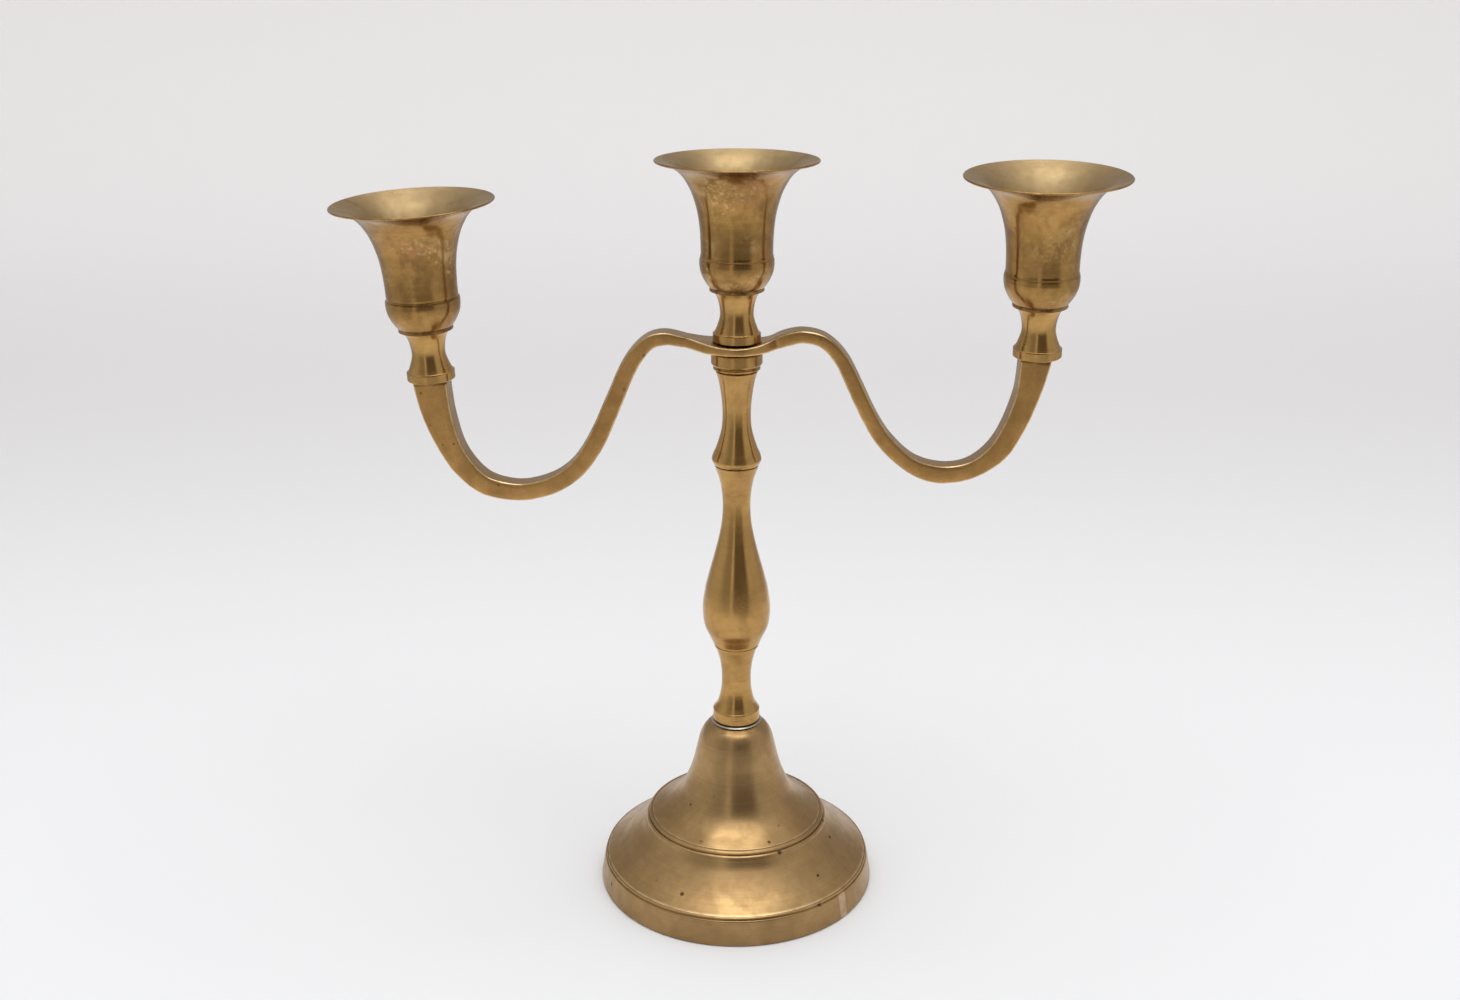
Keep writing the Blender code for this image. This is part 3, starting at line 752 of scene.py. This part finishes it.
make_base()
make_baluster()
make_spindle()
make_cup("centre", polished, False)
make_cup("left", polished_left, True)
make_cup("right", polished_right, False)
make_stem("centre", "root", BORE)
make_stem("left", "arms", STUD_BORE)
make_stem("right", "arms", STUD_BORE)
make_yoke()


# ---- the fasteners inside -------------------------------------------------------------------
THREAD_DEPTH = 0.4


def threads(top, bottom, crest, pitch):
    """The roots and crests of a thread, from its top down."""
    root = crest - THREAD_DEPTH
    outline = [(root, top)]
    for turn in range(int((top - bottom) / pitch)):
        outline += [(crest, top - (turn + 0.5) * pitch), (root, top - (turn + 1) * pitch)]
    return outline


def fasten(node, shape, body, material, slot, place=None, **form):
    """Make a turned fastener to show in place of its plain CAD node."""
    piece = lathe(node + "_detailed", shape, material, place, sides=72, **form)
    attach(piece, body)
    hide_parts(node)


def make_washer(node, material, slot):
    top, bottom = node_top(node) / MM, node_bottom(node) / MM
    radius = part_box(node)[1][0] / MM
    rounded = [(BORE, top), (radius - 0.4, top), (radius, top - 0.35), (radius, bottom + 0.35),
               (radius - 0.4, bottom), (BORE, bottom)]
    fasten(node, joined(rounded, fillet=0.15, closed=True), "root", material, slot)


def make_nut():
    """A hexagon nut, its corners turned off and its thread showing."""
    top, bottom = node_top("base_nut") / MM, node_bottom("base_nut") / MM
    body = [(4.8, top), (5.7, top - 0.5), (5.7, bottom + 0.5), (4.8, bottom),
            (BORE + 0.5, bottom)]
    thread = threads(top - 0.1, bottom + 0.2, BORE + THREAD_DEPTH, 1.0)[::-1]
    shape = joined(body, thread, [(BORE + 0.5, top)], fillet=0.1, closed=True)
    fasten("base_nut", shape, "root", steel, "steel", flats=10.0)


def make_rod():
    """The tie rod, threaded at both ends."""
    top, bottom = node_top("tie_rod") / MM, node_bottom("tie_rod") / MM
    shape = joined([(0.0, top), (2.4, top)], threads(top - 0.3, top - 22.0, 3.0, 1.0),
                   [(2.75, top - 22.6), (2.75, bottom + 24.6)],
                   threads(bottom + 24.3, bottom + 0.3, 3.0, 1.0), [(2.4, bottom), (0.0, bottom)],
                   fillet=0.08)
    fasten("tie_rod", shape, "root", steel, "steel", closed=False)


def make_stud(side):
    """A threaded stud from the hole in an arm's end up into the side stem."""
    place = axis_place(side + "_cup_turn") @ Matrix.Translation((0, 0, -CUP_RAISE * MM))
    top, bottom = 11.7, -9.3
    shape = joined([(0.0, top), (2.0, top)], threads(top - 0.3, bottom + 0.3, 2.5, 0.8),
                   [(2.0, bottom), (0.0, bottom)], fillet=0.08)
    fasten(side + "_stud", shape, "arms", steel, "steel", place, closed=False)


make_washer("seat_washer", pale, "pale_metal")
make_washer("base_washer", steel, "steel")
make_nut()
make_rod()
make_stud("left")
make_stud("right")


# ---- the room --------------------------------------------------------------------------------
def paper(name, near, middle, far, glow=0.0):
    """Matt backdrop paper with painted shade: its colour changes from the foot of the object away
    towards the wall.

    With a glow it also shines faintly there, so that the wall is as pale as in the photo.
    """
    material, nodes, shader = new_material(name)
    split = nodes.add("ShaderNodeSeparateXYZ")
    nodes.link(nodes.place(), split.inputs[0])
    depth = split.outputs["Y"]
    # painted shade: the colour goes from near to middle to far with the distance from the foot
    colour = nodes.mix(nodes.ramp(depth, -0.1, 0.9), near, middle)
    away = nodes.ramp(depth, 0.3, 2.3)
    colour = nodes.mix(away, colour, far)
    nodes.link(colour, shader.inputs["Base Color"])
    # painted light: the paper glows towards the wall
    nodes.link(colour, shader.inputs["Emission Color"])
    nodes.link(nodes.product(away, glow), shader.inputs["Emission Strength"])
    shader.inputs["Metallic"].default_value = 0.0
    shader.inputs["Roughness"].default_value = 0.9
    shader.inputs["Specular IOR Level"].default_value = 0.2
    return material, nodes, shader


def make_backdrop():
    """One pale sweep: the floor, a wide bend and a wall behind."""
    half_width, front, bend_start, bend_radius, height = 6.0, -6.0, 1.4, 1.2, 5.0
    bend_steps = 12
    profile = [(front, 0.0), (bend_start, 0.0)]
    for step in range(1, bend_steps + 1):
        angle = pi / 2 * step / bend_steps
        profile.append((bend_start + bend_radius * sin(angle), bend_radius * (1 - cos(angle))))
    profile.append((bend_start + bend_radius, height))
    vertices = [(x, y, z) for y, z in profile for x in (-half_width, half_width)]
    faces = [(2 * i, 2 * i + 1, 2 * i + 3, 2 * i + 2) for i in range(len(profile) - 1)]
    mesh = bpy.data.meshes.new("sweep")
    mesh.from_pydata(vertices, [], faces)
    # painted shade and glow: the sweep darkens out to the middle distance and glows faintly towards
    # the wall
    material, _, _ = paper("pale_paper_painted_shade", (0.91, 0.93, 0.96), (0.75, 0.75, 0.77),
                           (0.81, 0.80, 0.81), glow=0.24)
    mesh.materials.append(material)
    mesh.shade_smooth()
    obj = bpy.data.objects.new("sweep", mesh)
    bpy.context.scene.collection.objects.link(obj)
    obj.visible_glossy = False


def make_near_floor():
    """The lit paper round the foot, which only the brass mirrors: it fades out to all sides."""
    reach, solid, sides = 0.85, 0.35, 48
    # painted shade: the near floor is a little darker away from the foot
    material, nodes, shader = paper("near_paper_painted_shade", (0.96, 0.96, 0.97), (0.90, 0.90, 0.91),
                                     (0.90, 0.90, 0.91))
    length = nodes.add("ShaderNodeVectorMath", operation="LENGTH")
    nodes.link(nodes.place(), length.inputs[0])
    nodes.link(nodes.ramp(length.outputs["Value"], reach, solid), shader.inputs["Alpha"])
    mesh = bpy.data.meshes.new("near_floor")
    angles = [2 * pi / sides * side for side in range(sides)]
    corners = [(reach * cos(angle), reach * sin(angle), 0.0) for angle in angles]
    mesh.from_pydata(corners, [], [list(range(sides))])
    mesh.materials.append(material)
    obj = bpy.data.objects.new("near_floor", mesh)
    obj.location.z = 0.0001       # above the sweep, which would keep the light off it
    bpy.context.scene.collection.objects.link(obj)
    obj.visible_camera = False
    obj.visible_diffuse = False
    obj.visible_shadow = False


def make_room():
    """The room that the brass mirrors: pale all round, and dark where the photographer stands.

    Azimuth is in degrees from the front, -Y, to the right, and elevation is above level.
    """
    pale_wall = (1.0, 0.99, 0.97)
    rear_wall = (0.62, 0.56, 0.53)
    unlit = (0.10, 0.062, 0.042)
    window = (1.6, 1.5, 1.35)
    world = bpy.data.worlds.new("soft_room")
    bpy.context.scene.world = world
    world.use_nodes = True
    nodes = Nodes(world.node_tree)
    split = nodes.add("ShaderNodeSeparateXYZ")
    nodes.link(nodes.add("ShaderNodeTexCoord").outputs["Generated"], split.inputs[0])
    x, y, z = split.outputs
    azimuth = nodes.product(nodes.math("ARCTAN2", x, nodes.product(y, -1.0)), 180 / pi)
    elevation = nodes.product(nodes.math("ARCSINE", z), 180 / pi)

    def between(value, rise_start, rise_end, fall_start, fall_end):
        return nodes.product(nodes.ramp(value, rise_start, rise_end),
                             nodes.ramp(value, fall_end, fall_start))

    upright = between(elevation, -30.0, -6.0, 44.0, 60.0)
    dark = nodes.product(between(azimuth, -14.0, -8.0, 36.0, 54.0), upright, 0.84)
    dusk = nodes.product(between(azimuth, -75.0, -40.0, -20.0, -12.0), upright, 0.45)
    slit = nodes.product(between(azimuth, -23.0, -20.5, -18.5, -16.0), upright, 0.85)
    level = nodes.ramp(elevation, 36.0, 68.0, 0.64, 1.25)
    shade = nodes.math("MINIMUM", nodes.math("ADD", dark, dusk), 0.86)
    behind = nodes.ramp(nodes.math("ABSOLUTE", azimuth), 95.0, 130.0, 0.0, 0.75)
    colour = nodes.mix(behind, pale_wall, rear_wall)
    colour = nodes.mix(shade, colour, unlit)
    colour = nodes.mix(slit, colour, window)
    background = world.node_tree.nodes["Background"]
    nodes.link(colour, background.inputs["Color"])
    nodes.link(level, background.inputs["Strength"])


def make_lamp(name, location, size, power, aim=(0.0, 0.0, 0.15)):
    lamp = bpy.data.lights.new(name, "AREA")
    lamp.shape = "DISK"
    lamp.size = size
    lamp.energy = power
    obj = bpy.data.objects.new(name, lamp)
    obj.location = location
    obj.rotation_euler = (Vector(location) - Vector(aim)).to_track_quat("Z", "Y").to_euler()
    bpy.context.scene.collection.objects.link(obj)


def make_studio():
    make_backdrop()
    make_near_floor()
    make_room()
    make_lamp("overhead", (0.1, -0.2, 1.9), 1.6, 12.0)


def make_camera():
    camera = bpy.data.cameras.new("camera")
    camera.sensor_width = 36.0
    camera.lens = 40.41
    obj = bpy.data.objects.new("camera", camera)
    obj.location = (-0.0026, -0.6092, 0.3822)
    obj.rotation_euler = (radians(70.58), 0, 0)
    bpy.context.scene.collection.objects.link(obj)
    bpy.context.scene.camera = obj


make_studio()
make_camera()
bpy.context.scene.view_settings.view_transform = "Standard"
